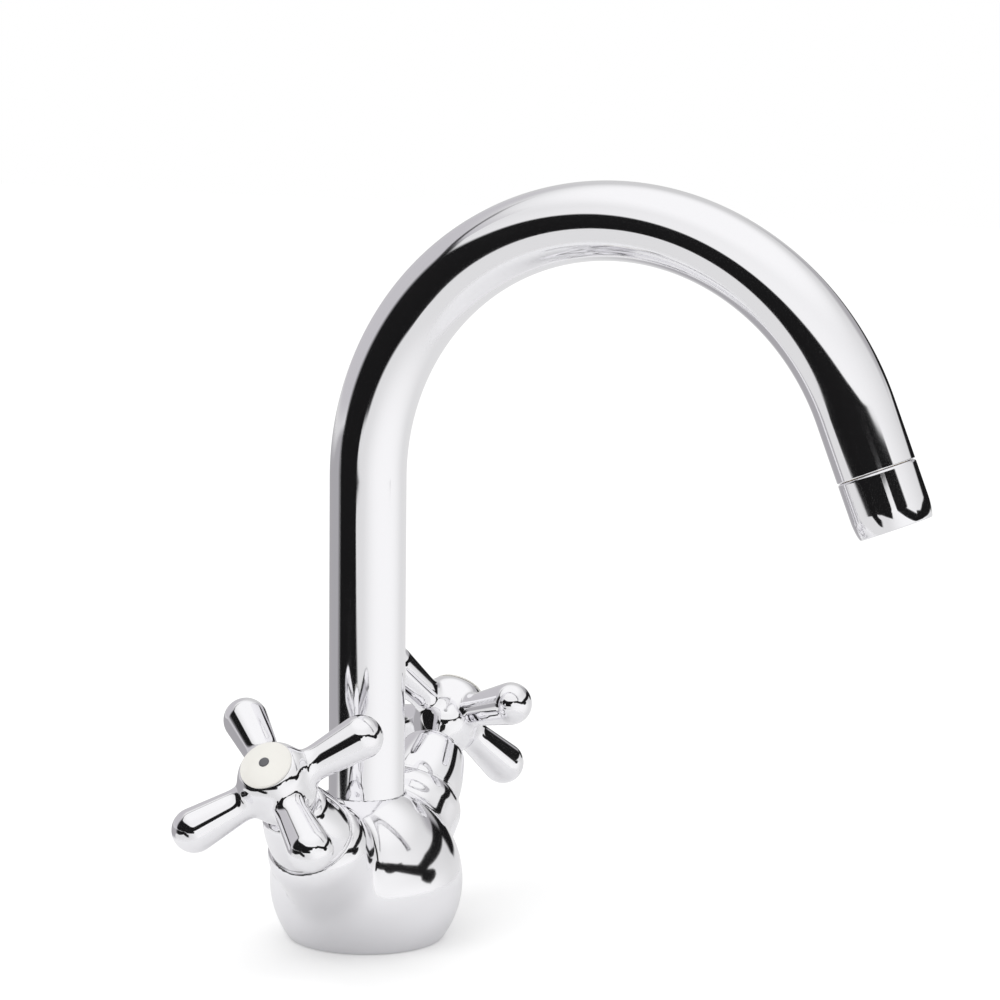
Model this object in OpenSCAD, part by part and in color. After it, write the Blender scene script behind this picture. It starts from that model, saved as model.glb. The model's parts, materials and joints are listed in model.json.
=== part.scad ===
// Two-handle basin mixer tap with a swan-neck swivel spout.
// Origin: centre of the base on the deck. +Z up, +X towards the user (the spout's side).
// The hot valve leans to -Y and the cold valve to +Y.

/* [Body] */
// Radius of the round body
ball_r = 31.8; // [31:0.2:34]
// Height of the ball's centre above the deck
ball_z = 19; // [18:0.5:20]
// Outer radius of the two valve arms
arm_r = 16.6; // [16.2:0.1:17.5]
// Angle between each valve and the vertical
valve_tilt = 45; // [43:1:48]
// Height at which the valve axes meet on the centre line
valve_foot_z = 3.7; // [3:0.1:5]
// Distance from that point to the mouth of the arm
arm_length = 53; // [52:0.5:56]
// Length of the rounded shoulder at the arm's mouth
mouth_round = 5; // [4:0.5:6]

/* [Deck side] */
// Radius of the fixing stud's threaded hole
stud_hole_r = 3.4; // [2.5:0.1:4]
// Depth of the stud hole
stud_hole_depth = 14; // [10:0.5:18]
// Radius of each threaded water inlet
inlet_r = 4.5; // [4:0.1:5]
// Distance of each inlet from the centre
inlet_offset = 12; // [11:0.1:13]
// Depth of each inlet
inlet_depth = 16; // [15:0.5:18]
// Middle radius of the seal under the base
base_seal_r = 22; // [21:0.1:22.8]
// Width of that seal
base_seal_w = 2.6; // [1.6:0.1:3]
// Depth of its groove
base_seal_depth = 2; // [1.5:0.1:2.5]

/* [Spout] */
// Outer diameter of the spout tube
tube_d = 25; // [24.4:0.1:26]
// Wall of the tube
tube_wall = 1.2; // [1:0.1:1.5]
// Height at which the bend starts
riser_top_z = 152.9; // [120:1:190]
// Radius of the bend, on the tube's centre line
bend_r = 86.9; // [60:1:110]
// Angle that the bend turns through
bend_angle = 158; // [140:1:170]
// Straight length after the bend
outlet_straight = 19.3; // [12:0.5:40]

/* [Spout seat] */
// Radius of the tail that turns in the body
spigot_r = 9; // [8.4:0.1:9.2]
// Height of the tail's lower end
spigot_foot_z = 34; // [33.5:0.1:35]
// Height of the shoulder that the slip ring lies on
seat_z = 44.5; // [44.3:0.1:45.5]
// Thickness of the slip ring
slip_ring_t = 1; // [0.8:0.1:1.4]
// Length of the tail inside the tube
spigot_in_tube = 10; // [6:0.5:16]
// Bore through the tail
spigot_bore_r = 5.5; // [4.5:0.1:6]
// Height of the mixing chamber's floor
chamber_floor_z = 28.5; // [27.5:0.1:30]
// Radius of the cross port that feeds the chamber
port_r = 2.4; // [1.8:0.1:2.6]
// Swivel of the spout to each side
swivel_limit = 60; // [30:5:70]
// Radius of the stop screw
stop_screw_r = 2.45; // [2:0.05:2.5]
// Radius of its point
stop_point_r = 1.4; // [1:0.1:1.5]

/* [Aerator] */
// Length of the aerator's shell
aerator_l = 18.5; // [16.5:0.5:24]
// Radius of the shell at its lower end
aerator_end_r = 11.8; // [11.7:0.1:12.4]
// Wall of the shell at its thread
shell_wall = 1.5; // [1.2:0.1:1.8]
// Length of the thread that the shell screws on
nozzle_thread_l = 7; // [5:0.5:8]
// Length of the nozzle inside the tube
nozzle_in_tube = 9; // [6:0.5:14]
// Wall of the nozzle
nozzle_wall = 2.3; // [1.5:0.1:2.8]
// Thickness of the flat washer
aerator_washer_t = 1.5; // [1:0.1:2]
// Thickness of the perforated screen
screen_t = 1.4; // [1:0.1:2]

/* [Valve] */
// Radius of the bore in each arm
arm_bore_r = 10.4; // [10.2:0.1:11]
// Depth of that bore below the arm's mouth
seat_depth = 27; // [26.5:0.1:28]
// Radius of the ceramic discs
disc_r = 8; // [7.6:0.1:8.2]
// Thickness of each ceramic disc
disc_t = 3; // [2.5:0.1:3.2]
// Thickness of the rubber seal under the fixed disc
seat_seal_t = 2; // [1.5:0.1:2.2]
// Height of the hexagon
hex_h = 5.5; // [4:0.5:6.5]
// Width of the hexagon across its flats
hex_af = 19; // [18:0.5:20]
// Radius of the valve's neck
neck_r = 8.6; // [8.2:0.1:8.7]
// Height of the neck's end above the arm's mouth
neck_top = 15; // [14.5:0.1:15.3]
// Radius of the spindle
spindle_r = 5; // [4.6:0.1:5.2]
// Outer radius of the spindle's splines
spline_r = 4; // [3.6:0.1:4.3]
// Number of splines
spline_teeth = 20; // [16:1:24]
// Thickness of the section of each spindle O-ring
spindle_ring_t = 1.1; // [0.9:0.1:1.3]

/* [Bonnet] */
// Radius of the bonnet at its foot
bonnet_foot_r = 14; // [13.8:0.1:14.2]
// Radius of the bonnet at its shoulder
bonnet_shoulder_r = 11.1; // [10.8:0.1:11.5]
// Height of the bonnet
bonnet_h = 18.3; // [18:0.1:18.6]
// Wall of the bonnet
bonnet_wall = 1.2; // [1:0.1:1.4]

/* [Crosshead] */
// Height of the crosshead's arms above the mouth
hub_above_mouth = 31; // [30.5:0.5:36]
// Widest radius of the hub
hub_r = 11; // [10.6:0.1:11.6]
// Radius of the hub where it leaves the bonnet
hub_neck_r = 7.6; // [7:0.1:8]
// Height of the hub's rim above the arms
hub_above = 10.2; // [9.8:0.2:12]
// Distance from the axis to the centre of an arm's round tip
arm_reach = 29.8; // [26:0.2:36]
// Radius of the tip
tip_r = 7.2; // [6:0.1:7.6]
// Radius of the arm where it leaves the hub
root_r = 5.2; // [4.4:0.1:5.8]
// Turn of the hot crosshead about its axis, shut
hot_turn = 43; // [0:1:89]
// Turn of the cold crosshead about its axis, shut
cold_turn = -22.6; // [-45:1:44]
// Radius of the ivory cap
cap_r = 8.6; // [8.2:0.1:9]
// Height of the cap's dome
cap_dome = 1.4; // [1:0.1:2.6]
// Radius of the dot on the cap
mark_r = 1.7; // [1:0.1:2.4]

/* [Fits] */
// Clearance between pieces that are fixed together
fit = 0.1; // [0.05:0.01:0.15]
// Clearance between pieces that turn in each other
run = 0.08; // [0.05:0.01:0.1]
// Gap between outer pieces that move past each other
gap = 0.4; // [0.3:0.05:0.6]

/* [Hidden] */
$fn = 96;

HOT = -1;
COLD = 1;
past = 1; // how far a cutter runs past the face it opens

CHROME = [0.80, 0.81, 0.83];
BRASS = [0.78, 0.62, 0.32];
STEEL = [0.62, 0.63, 0.65];
RUBBER = [0.10, 0.10, 0.11];
PLASTIC = [0.90, 0.90, 0.88];
CERAMIC = [0.93, 0.93, 0.91];
IVORY = [0.94, 0.92, 0.88];
MARK = [0.35, 0.35, 0.37];

// Spout seat, from the deck upwards
tube_r = tube_d / 2;
tube_bore_r = tube_r - tube_wall;
bend_draw = 0.05; // how much the bend's wall loses on each face
spout_bore_r = spigot_r + run;
tube_foot_z = seat_z + slip_ring_t + fit;
port_z = chamber_floor_z + port_r + past;
spout_ring_t = 1.6;
spout_ring_groove_w = spout_ring_t + 2 * fit;
spout_ring_r = spigot_r - spout_ring_t / 2;
spout_ring_zs = [spigot_foot_z + 1.9, spigot_foot_z + 4.4];
stop_groove_w = 2 * stop_point_r + 2 * fit;
stop_z = (spout_ring_zs[1] + spout_ring_groove_w / 2 + seat_z) / 2;
stop_groove_floor_r = spigot_r - 1.6;
stop_half_angle = swivel_limit + asin((stop_point_r + fit) / stop_groove_floor_r);
stop_outer_x = sqrt(ball_r * ball_r - (stop_z - ball_z) * (stop_z - ball_z));
mouth_in = arm_r - bonnet_foot_r - 0.2; // how far the shoulder draws in, short of the bonnet's foot

// Mouth of the spout: the bend's end, then the straight
mouth_x = bend_r - bend_r * cos(bend_angle) + outlet_straight * sin(bend_angle);
mouth_z = riser_top_z + bend_r * sin(bend_angle) + outlet_straight * cos(bend_angle);

// Aerator, measured along the flow from the tube's mouth
nozzle_in_r = tube_bore_r - fit;
nozzle_thread_r = tube_r - shell_wall - fit;
nozzle_bore_r = nozzle_in_r - nozzle_wall;
shell_thread_r = nozzle_thread_r + fit;
shell_chamber_r = aerator_end_r - 1.2;
shell_lip_r = shell_chamber_r - 1;
shell_lip_h = 1.3;
shell_edge = 0.5;
screen_top = aerator_l - shell_lip_h - fit;
core_end = screen_top - screen_t - fit;
core_start = nozzle_thread_l + fit + aerator_washer_t + fit;
insert_r = shell_chamber_r - fit;

// Valve, measured along its axis from the arm's mouth
seal_top = -seat_depth + fit + seat_seal_t;
fixed_disc_top = seal_top + disc_t;
moving_disc_foot = fixed_disc_top + fit / 2;
moving_disc_top = moving_disc_foot + disc_t;
skirt_foot = seal_top + fit;
skirt_r = arm_bore_r - 0.8;
thread_r = arm_bore_r - 2 * fit;
disc_bore_r = disc_r + 1.5 * fit;
drive_foot = moving_disc_top + 2;
drive_r = spindle_r + 1.1;
drive_t = 3.4;
drive_top = drive_foot + fit + drive_t;
washer_t = 1.2;
drive_roof = drive_top + washer_t + 2 * fit;
drive_bore_r = drive_r + 2 * fit;
spindle_bore_r = spindle_r + run;
tang_w = 3.8;
tang_l = 1.5 * disc_r;
tang_depth = 1.1;
lug_r = drive_r + 1.3;
lug_half_angle = 12;
quarter_turn = 90;
slot_w = 5;
valve_ring_t = 1.8;
valve_ring_r = arm_bore_r - fit - valve_ring_t / 2;
valve_ring_w = -valve_ring_t / 2 - 0.9;
spindle_ring_r = spindle_r - spindle_ring_t / 2;
spindle_ring_ws = [1.2, 4.6];
clip_t = 1;
clip_w = neck_top + fit;
clip_r = spindle_r + 1.7;
spindle_shoulder = clip_w + clip_t + 0.6;

// Crosshead, measured from the plane of its arms
hub_below = hub_above_mouth - bonnet_h - gap;
hub_rim_r = cap_r + 0.3;
hub_shoulder = 3.2;
spline_top = 2.3;
web_foot = spline_top + 0.4;
web_t = 2.3;
cap_skirt_t = 1.2;
cap_recess_r = cap_r - cap_skirt_t;
cap_skirt_depth = 3;
cap_edge = 0.6;
screw_r = 1.95;
screw_l = 9;
screw_head_r = 3.4;
screw_head_t = 2.1;
dome_r = (cap_r * cap_r + cap_dome * cap_dome) / (2 * cap_dome);
cap_top = hub_above + fit + cap_edge + cap_dome;
mark_sink = 0.6;
mark_proud = 0.35;

// Points of an arc about c, from angle a to angle b
function arc(c, r, a, b, n = 10) =
    [for (i = [0 : n]) c + r * [cos(a + (b - a) * i / n), sin(a + (b - a) * i / n)]];

// Points of a quarter sine from p to q: it leaves p steeply and reaches q upright
function ease(p, q, n = 8) =
    [for (i = [0 : n]) [p[0] + (q[0] - p[0]) * sin(90 * i / n), p[1] + (q[1] - p[1]) * i / n]];

// Points of a ring of splines, grown by a clearance
function splines(grow) =
    [for (i = [0 : 2 * spline_teeth - 1])
        (spline_r + grow - (i % 2) * 0.45)
            * [cos(180 * i / spline_teeth), sin(180 * i / spline_teeth)]];

// Places its children on a valve's axis, with their zero at the mouth of the arm
module on_valve(side) {
    translate([0, 0, valve_foot_z])
        rotate([-side * valve_tilt, 0, 0])
            translate([0, 0, arm_length])
                children();
}

// Places its children at the crosshead, turned as the handle stands when shut
module on_hub(side) {
    on_valve(side)
        translate([0, 0, hub_above_mouth])
            rotate([0, 0, side == HOT ? hot_turn : cold_turn])
                children();
}

// Places its children at the spout's mouth, with +Z along the flow
module on_outlet() {
    translate([mouth_x, 0, mouth_z])
        rotate([0, bend_angle, 0])
            children();
}

module ring(r_out, r_in, h) {
    difference() {
        cylinder(r = r_out, h = h);
        translate([0, 0, -past])
            cylinder(r = r_in, h = h + 2 * past);
    }
}

module oring(r, t) {
    rotate_extrude()
        translate([r, 0])
            circle(d = t, $fn = 32);
}

// A wedge of a ring, centred on +X
module sector(r_out, r_in, half_angle, h) {
    intersection() {
        ring(r_out, r_in, h);
        linear_extrude(h)
            polygon([
                [0, 0],
                2 * r_out * [cos(half_angle), -sin(half_angle)],
                [2 * r_out, 0],
                2 * r_out * [cos(half_angle), sin(half_angle)]
            ]);
    }
}

module arm_outside(side) {
    on_valve(side)
        rotate_extrude()
            polygon(concat(
                [[0, -arm_length + arm_r], [arm_r, -arm_length + arm_r]],
                [for (i = [0 : 10])
                    [arm_r - mouth_in + mouth_in * cos(90 * i / 10), -mouth_round + mouth_round * sin(90 * i / 10)]],
                [[0, 0]]
            ));
}

module arm_inside(side) {
    on_valve(side) {
        translate([0, 0, -seat_depth])
            cylinder(r = arm_bore_r, h = seat_depth + past);
        translate([0, 0, inlet_offset / sin(valve_tilt) - arm_length])
            cylinder(r = inlet_r - 0.5, h = arm_length - inlet_offset / sin(valve_tilt) - seat_depth + past);
    }
    translate([0, side * inlet_offset, -past])
        cylinder(r = inlet_r, h = inlet_depth + past);
}

module body() {
    color(CHROME)
        difference() {
            union() {
                intersection() {
                    translate([0, 0, ball_z])
                        sphere(r = ball_r);
                    cylinder(r = 2 * ball_r, h = 2 * ball_r);
                }
                arm_outside(HOT);
                arm_outside(COLD);
            }
            arm_inside(HOT);
            arm_inside(COLD);
            translate([0, 0, -past])
                cylinder(r = stud_hole_r, h = stud_hole_depth + past);
            translate([0, 0, chamber_floor_z])
                cylinder(r = spout_bore_r, h = ball_r * 2);
            translate([0, 0, seat_z])
                cylinder(r = tube_r + 2 * fit, h = ball_r * 2);
            translate([0, -arm_bore_r * 1.5, port_z])
                rotate([-90, 0, 0])
                    cylinder(r = port_r, h = arm_bore_r * 3);
            translate([0, 0, stop_z])
                rotate([0, -90, 0])
                    cylinder(r = stop_screw_r + fit / 2, h = 2 * ball_r);
            translate([0, 0, -past])
                ring(base_seal_r + base_seal_w / 2 + fit, base_seal_r - base_seal_w / 2 - fit,
                     base_seal_depth + past);
        }
}

module base_seal() {
    color(RUBBER)
        translate([0, 0, fit / 2])
            ring(base_seal_r + base_seal_w / 2, base_seal_r - base_seal_w / 2,
                 base_seal_depth - fit);
}

module spout_slip_ring() {
    color(PLASTIC)
        translate([0, 0, seat_z])
            ring(tube_r, spigot_r + fit, slip_ring_t);
}

// Grub screw from the back, with a dog point in the tail's groove and a socket outside
module spout_stop_screw() {
    shank_start = spout_bore_r + fit;
    shank_end = stop_outer_x - 1.2;
    color(STEEL)
        translate([0, 0, stop_z])
            rotate([0, -90, 0])
                difference() {
                    union() {
                        translate([0, 0, shank_start])
                            cylinder(r = stop_screw_r, h = shank_end - shank_start);
                        translate([0, 0, stop_groove_floor_r + 0.3])
                            cylinder(r = stop_point_r, h = shank_end - stop_groove_floor_r - 1);
                    }
                    translate([0, 0, shank_end - 2.4])
                        cylinder(d = 2.9, h = 2.4 + past, $fn = 6);
                }
}

// One tube: the riser, the bend, whose wall is drawn a hair thinner, and the outlet
module spout_tube() {
    color(CHROME) {
        translate([0, 0, tube_foot_z])
            ring(tube_r, tube_bore_r, riser_top_z - tube_foot_z);
        translate([bend_r, 0, riser_top_z])
            rotate([90, 0, 0])
                rotate([0, 0, 180 - bend_angle])
                    rotate_extrude(angle = bend_angle)
                        translate([bend_r, 0])
                            difference() {
                                circle(r = tube_r - bend_draw);
                                circle(r = tube_bore_r + bend_draw);
                            }
        on_outlet()
            translate([0, 0, -outlet_straight])
                ring(tube_r, tube_bore_r, outlet_straight);
    }
}

module spout_spigot() {
    color(BRASS)
        difference() {
            union() {
                translate([0, 0, spigot_foot_z])
                    cylinder(r = spigot_r, h = tube_foot_z - spigot_foot_z + past);
                translate([0, 0, tube_foot_z])
                    cylinder(r = tube_bore_r - fit, h = spigot_in_tube);
            }
            translate([0, 0, spigot_foot_z - past])
                cylinder(r = spigot_bore_r, h = ball_r + spigot_in_tube);
            for (z = spout_ring_zs)
                translate([0, 0, z - spout_ring_groove_w / 2])
                    ring(spigot_r + past, spigot_r - spout_ring_t - fit, spout_ring_groove_w);
            translate([0, 0, stop_z - stop_groove_w / 2])
                rotate([0, 0, 180 - stop_half_angle])
                    rotate_extrude(angle = 2 * stop_half_angle)
                        translate([stop_groove_floor_r, 0])
                            square([spigot_r, stop_groove_w]);
        }
}

module spout_orings() {
    color(RUBBER)
        for (z = spout_ring_zs)
            translate([0, 0, z])
                oring(spout_ring_r, spout_ring_t);
}

module outlet_nozzle() {
    color(BRASS)
        on_outlet()
            difference() {
                union() {
                    cylinder_from(-nozzle_in_tube, 0, nozzle_in_r);
                    cylinder_from(-past, nozzle_thread_l, nozzle_thread_r);
                }
                translate([0, 0, -nozzle_in_tube - past])
                    cylinder(r = nozzle_bore_r, h = nozzle_in_tube + nozzle_thread_l + 2 * past);
            }
}

module aerator_shell() {
    color(CHROME)
        on_outlet()
            difference() {
                rotate_extrude()
                    polygon(concat(
                        [[0, fit]],
                        arc([tube_r - shell_edge, fit + shell_edge], shell_edge, -90, 0, 5),
                        arc([aerator_end_r - shell_edge, aerator_l - shell_edge], shell_edge, 0, 90, 5),
                        [[0, aerator_l]]
                    ));
                cylinder(r = shell_thread_r, h = nozzle_thread_l + fit);
                cylinder(r = shell_chamber_r, h = aerator_l - shell_lip_h);
                cylinder(r = shell_lip_r, h = aerator_l + past);
            }
}

module aerator_washer() {
    color(RUBBER)
        on_outlet()
            translate([0, 0, nozzle_thread_l + fit])
                ring(insert_r, nozzle_bore_r, aerator_washer_t);
}

module aerator_core() {
    hole_r = insert_r * 0.2;
    color(PLASTIC)
        on_outlet()
            translate([0, 0, core_start])
                difference() {
                    cylinder(r = insert_r, h = core_end - core_start);
                    translate([0, 0, -past])
                        cylinder(r = hole_r, h = aerator_l);
                    for (i = [0 : 5])
                        rotate([0, 0, 60 * i])
                            translate([insert_r * 0.6, 0, -past])
                                cylinder(r = hole_r, h = aerator_l);
                }
}

module aerator_screen() {
    hole_r = insert_r * 0.085;
    color(STEEL)
        on_outlet()
            translate([0, 0, core_end + fit])
                difference() {
                    cylinder(r = insert_r, h = screen_t);
                    for (circle_no = [1 : 3], i = [0 : 6 * circle_no - 1])
                        rotate([0, 0, 60 * i / circle_no])
                            translate([insert_r * 0.27 * circle_no, 0, -past])
                                cylinder(r = hole_r, h = screen_t + 2 * past, $fn = 24);
                }
}

module seat_seal(side) {
    color(RUBBER)
        on_valve(side)
            translate([0, 0, -seat_depth + fit / 2])
                ring(disc_r, inlet_r, seat_seal_t);
}

// Lower ceramic disc, held still by two lugs in the skirt's slots
module fixed_disc(side) {
    color(CERAMIC)
        on_valve(side)
            translate([0, 0, seal_top])
                difference() {
                    union() {
                        cylinder(r = disc_r, h = disc_t);
                        translate([-skirt_r + fit, -slot_w / 2 + fit, 0])
                            cube([2 * skirt_r - 2 * fit, slot_w - 2 * fit, disc_t]);
                    }
                    for (turn = [90, 270])
                        rotate([0, 0, turn])
                            translate([0, 0, -past])
                                sector(disc_r - 1.5, 1.8, 42, disc_t + 2 * past);
                }
}

// Upper ceramic disc, turned by the spindle's tang
module moving_disc(side) {
    color(CERAMIC)
        on_valve(side)
            translate([0, 0, moving_disc_foot])
                difference() {
                    cylinder(r = disc_r - fit, h = disc_t);
                    for (turn = [0, 180])
                        rotate([0, 0, turn])
                            translate([0, 0, -past])
                                sector(disc_r + past, disc_r - 4.5, 40, disc_t / 2 + past);
                    translate([-tang_l / 2 - fit, -tang_w / 2 - fit, disc_t - tang_depth - fit])
                        cube([tang_l + 2 * fit, tang_w + 2 * fit, disc_t]);
                }
}

// Screwed valve insert: skirt round the discs, thread, hexagon on the mouth, neck
module valve_body(side) {
    color(BRASS)
        on_valve(side)
            difference() {
                union() {
                    translate([0, 0, skirt_foot])
                        cylinder(r = skirt_r, h = drive_foot - skirt_foot + past);
                    translate([0, 0, drive_foot])
                        cylinder(r = thread_r, h = -drive_foot);
                    cylinder(d = hex_af / cos(30), h = hex_h, $fn = 6);
                    cylinder(r = neck_r, h = neck_top);
                }
                translate([0, 0, skirt_foot - past])
                    cylinder(r = disc_bore_r, h = drive_foot - skirt_foot + past);
                cylinder_from(drive_foot - past, drive_roof, drive_bore_r);
                cylinder_from(drive_roof - past, neck_top + past, spindle_bore_r);
                translate([0, 0, drive_foot - past])
                    rotate([0, 0, -lug_half_angle - 1])
                        rotate_extrude(angle = quarter_turn + 2 * lug_half_angle + 2)
                            translate([drive_r - past, 0])
                                square([lug_r - drive_r + past + 2 * fit, drive_top - drive_foot + past + fit]);
                translate([-skirt_r - past, -slot_w / 2, skirt_foot - past])
                    cube([2 * skirt_r + 2 * past, slot_w, drive_foot - skirt_foot]);
                translate([0, 0, valve_ring_w - valve_ring_t / 2 - fit])
                    ring(arm_bore_r + past, valve_ring_r - valve_ring_t / 2 - fit,
                         valve_ring_t + 2 * fit);
            }
}

module cylinder_from(z_low, z_high, r) {
    translate([0, 0, z_low])
        cylinder(r = r, h = z_high - z_low);
}

module valve_oring(side) {
    color(RUBBER)
        on_valve(side)
            translate([0, 0, valve_ring_w])
                oring(valve_ring_r, valve_ring_t);
}

// Spindle: tang in the moving disc, flange with the quarter-turn lug, shaft, splines
module spindle(side) {
    lug_turn = side == HOT ? 0 : quarter_turn;
    color(BRASS)
        on_valve(side)
            difference() {
                union() {
                    translate([-tang_l / 2, -tang_w / 2, moving_disc_top - tang_depth])
                        cube([tang_l, tang_w, drive_foot - moving_disc_top + tang_depth + 2 * fit]);
                    cylinder_from(drive_foot + fit, drive_top, drive_r);
                    translate([0, 0, drive_foot + fit])
                        rotate([0, 0, lug_turn])
                            sector(lug_r, drive_r - past, lug_half_angle, drive_t);
                    cylinder_from(drive_top - past, spindle_shoulder, spindle_r);
                    translate([0, 0, spindle_shoulder - past])
                        linear_extrude(hub_above_mouth + spline_top - spindle_shoulder + past)
                            polygon(splines(0));
                }
                for (w = spindle_ring_ws)
                    translate([0, 0, w - spindle_ring_t / 2 - fit])
                        ring(spindle_r + past, spindle_r - spindle_ring_t - fit,
                             spindle_ring_t + 2 * fit);
                translate([0, 0, clip_w - fit / 2])
                    ring(spindle_r + past, spindle_r - 0.9, clip_t + fit);
                cylinder_from(hub_above_mouth + spline_top - screw_l - past, hub_above_mouth + hub_above,
                              screw_r + fit / 2);
            }
}

module thrust_washer(side) {
    color(PLASTIC)
        on_valve(side)
            translate([0, 0, drive_top + fit])
                ring(drive_r, spindle_r + fit, washer_t);
}

module spindle_orings(side) {
    color(RUBBER)
        on_valve(side)
            for (w = spindle_ring_ws)
                translate([0, 0, w])
                    oring(spindle_ring_r, spindle_ring_t);
}

// Open spring clip above the neck
module spindle_clip(side) {
    color(STEEL)
        on_valve(side)
            translate([0, 0, clip_w])
                difference() {
                    ring(clip_r, spindle_r - 0.9 + fit, clip_t);
                    translate([0, -spindle_r * 0.35, -past])
                        cube([clip_r * 2, spindle_r * 0.7, clip_t + 2 * past]);
                }
}

// Bell that covers the valve: straight flare from the foot to the shoulder, then a round top
module bonnet(side) {
    shoulder_w = bonnet_h - 3.3;
    top_r = hub_neck_r + 0.6;
    color(CHROME)
        on_valve(side)
            difference() {
                rotate_extrude()
                    polygon(concat(
                        [[0, fit], [bonnet_foot_r, fit]],
                        [for (i = [0 : 8])
                            [bonnet_shoulder_r
                                + (bonnet_foot_r - 0.3 - bonnet_shoulder_r) * pow(cos(90 * i / 8), 0.9),
                             1.2 + (shoulder_w - 1.2) * i / 8]],
                        [for (i = [1 : 6])
                            [top_r + (bonnet_shoulder_r - top_r) * cos(90 * i / 6),
                             shoulder_w + (bonnet_h - shoulder_w) * sin(90 * i / 6)]],
                        [[0, bonnet_h]]
                    ));
                translate([0, 0, -past])
                    cylinder(r = hex_af / cos(30) / 2 + fit, h = hex_h + past + fit);
                cylinder_from(-past, neck_top - 1.5, neck_r + 2 * fit + 0.3);
                cylinder_from(-past, bonnet_h - bonnet_wall, neck_r + fit);
                cylinder_from(-past, bonnet_h + past, spindle_r + gap);
            }
}

module crosshead_arm() {
    lean = atan((tip_r - root_r) / (arm_reach - hub_r));
    rotate([0, 90, 0])
        rotate_extrude()
            polygon(concat(
                [[0, root_r], [root_r - (hub_r - root_r) * tan(lean), root_r]],
                [for (p = arc([arm_reach, 0], tip_r, 90 + lean, 0, 14)) [p[1], p[0]]]
            ));
}

module crosshead(side) {
    color(CHROME)
        on_hub(side)
            difference() {
                union() {
                    rotate_extrude()
                        polygon(concat(
                            [[0, -hub_below]],
                            ease([hub_neck_r, -hub_below], [hub_r, -root_r]),
                            [for (i = [0 : 8])
                                [hub_rim_r + (hub_r - hub_rim_r) * cos(90 * i / 8),
                                 hub_above - hub_shoulder + hub_shoulder * sin(90 * i / 8)]],
                            [[0, hub_above]]
                        ));
                    for (turn = [0 : 90 : 270])
                        rotate([0, 0, turn])
                            crosshead_arm();
                }
                translate([0, 0, -hub_below - past])
                    linear_extrude(hub_below + past + web_foot)
                        rotate([0, 0, side == HOT ? -hot_turn : -cold_turn])
                            polygon(splines(run));
                cylinder_from(-hub_below - past, -hub_below + 1, spline_r + 2 * run);
                cylinder_from(0, hub_above + past, screw_r + 2 * fit);
                cylinder_from(web_foot + web_t, hub_above + past, cap_recess_r);
            }
}

module handle_screw(side) {
    head_foot = web_foot + web_t + fit / 2;
    color(STEEL)
        on_hub(side)
            difference() {
                union() {
                    cylinder_from(spline_top - screw_l, head_foot + past / 2, screw_r);
                    cylinder_from(head_foot, head_foot + screw_head_t, screw_head_r);
                }
                translate([0, 0, head_foot + screw_head_t - 1.3])
                    cylinder(d = 3.4, h = 1.3 + past, $fn = 6);
            }
}

// Ivory button: a low dome on a rim, with a skirt that snaps into the hub
module cap(side) {
    dome_half = asin(cap_r / dome_r);
    color(IVORY)
        on_hub(side)
            difference() {
                union() {
                    translate([0, 0, hub_above + fit])
                        rotate_extrude()
                            polygon(concat(
                                [[0, 0], [cap_r, 0]],
                                arc([0, cap_edge + cap_dome - dome_r], dome_r, 90 - dome_half, 90, 10)
                            ));
                    cylinder_from(hub_above - cap_skirt_depth, hub_above + fit + cap_edge / 2,
                                  cap_recess_r - fit);
                }
                cylinder_from(hub_above - cap_skirt_depth - past, hub_above, cap_recess_r - cap_skirt_t);
                cylinder_from(cap_top - mark_sink, cap_top + past, mark_r + fit / 2);
            }
}

// Plain round dot set in the middle of the cap
module cap_mark(side) {
    color(MARK)
        on_hub(side)
            translate([0, 0, cap_top - mark_sink])
                rotate_extrude()
                    polygon(concat(
                        [[0, 0], [mark_r, 0], [mark_r, mark_sink]],
                        [for (i = [1 : 5])
                            [mark_r * cos(90 * i / 5), mark_sink + mark_proud * sin(90 * i / 5)]]
                    ));
}

body();
base_seal();
spout_slip_ring();
spout_stop_screw();
spout_tube();
spout_spigot();
spout_orings();
outlet_nozzle();
aerator_shell();
aerator_washer();
aerator_core();
aerator_screen();
seat_seal(HOT);  // hot_seat_seal
fixed_disc(HOT);  // hot_fixed_disc
moving_disc(HOT);  // hot_moving_disc
valve_body(HOT);  // hot_valve_body
valve_oring(HOT);  // hot_valve_oring
spindle(HOT);  // hot_spindle
thrust_washer(HOT);  // hot_thrust_washer
spindle_orings(HOT);  // hot_spindle_orings
spindle_clip(HOT);  // hot_spindle_clip
bonnet(HOT);  // hot_bonnet
crosshead(HOT);  // hot_crosshead
handle_screw(HOT);  // hot_handle_screw
cap(HOT);  // hot_cap
cap_mark(HOT);  // hot_cap_mark
seat_seal(COLD);  // cold_seat_seal
fixed_disc(COLD);  // cold_fixed_disc
moving_disc(COLD);  // cold_moving_disc
valve_body(COLD);  // cold_valve_body
valve_oring(COLD);  // cold_valve_oring
spindle(COLD);  // cold_spindle
thrust_washer(COLD);  // cold_thrust_washer
spindle_orings(COLD);  // cold_spindle_orings
spindle_clip(COLD);  // cold_spindle_clip
bonnet(COLD);  // cold_bonnet
crosshead(COLD);  // cold_crosshead
handle_screw(COLD);  // cold_handle_screw
cap(COLD);  // cold_cap
cap_mark(COLD);  // cold_cap_mark
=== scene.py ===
# %% [markdown]
# # A two-handle basin mixer tap
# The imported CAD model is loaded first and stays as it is: it fixes where every piece is
# and what moves. The pieces that show are then made again as fine, mirror-smooth
# surfaces, because polished chrome shows every flat facet of a coarse mesh.

# %% Load the frame
import json
import math

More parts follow.
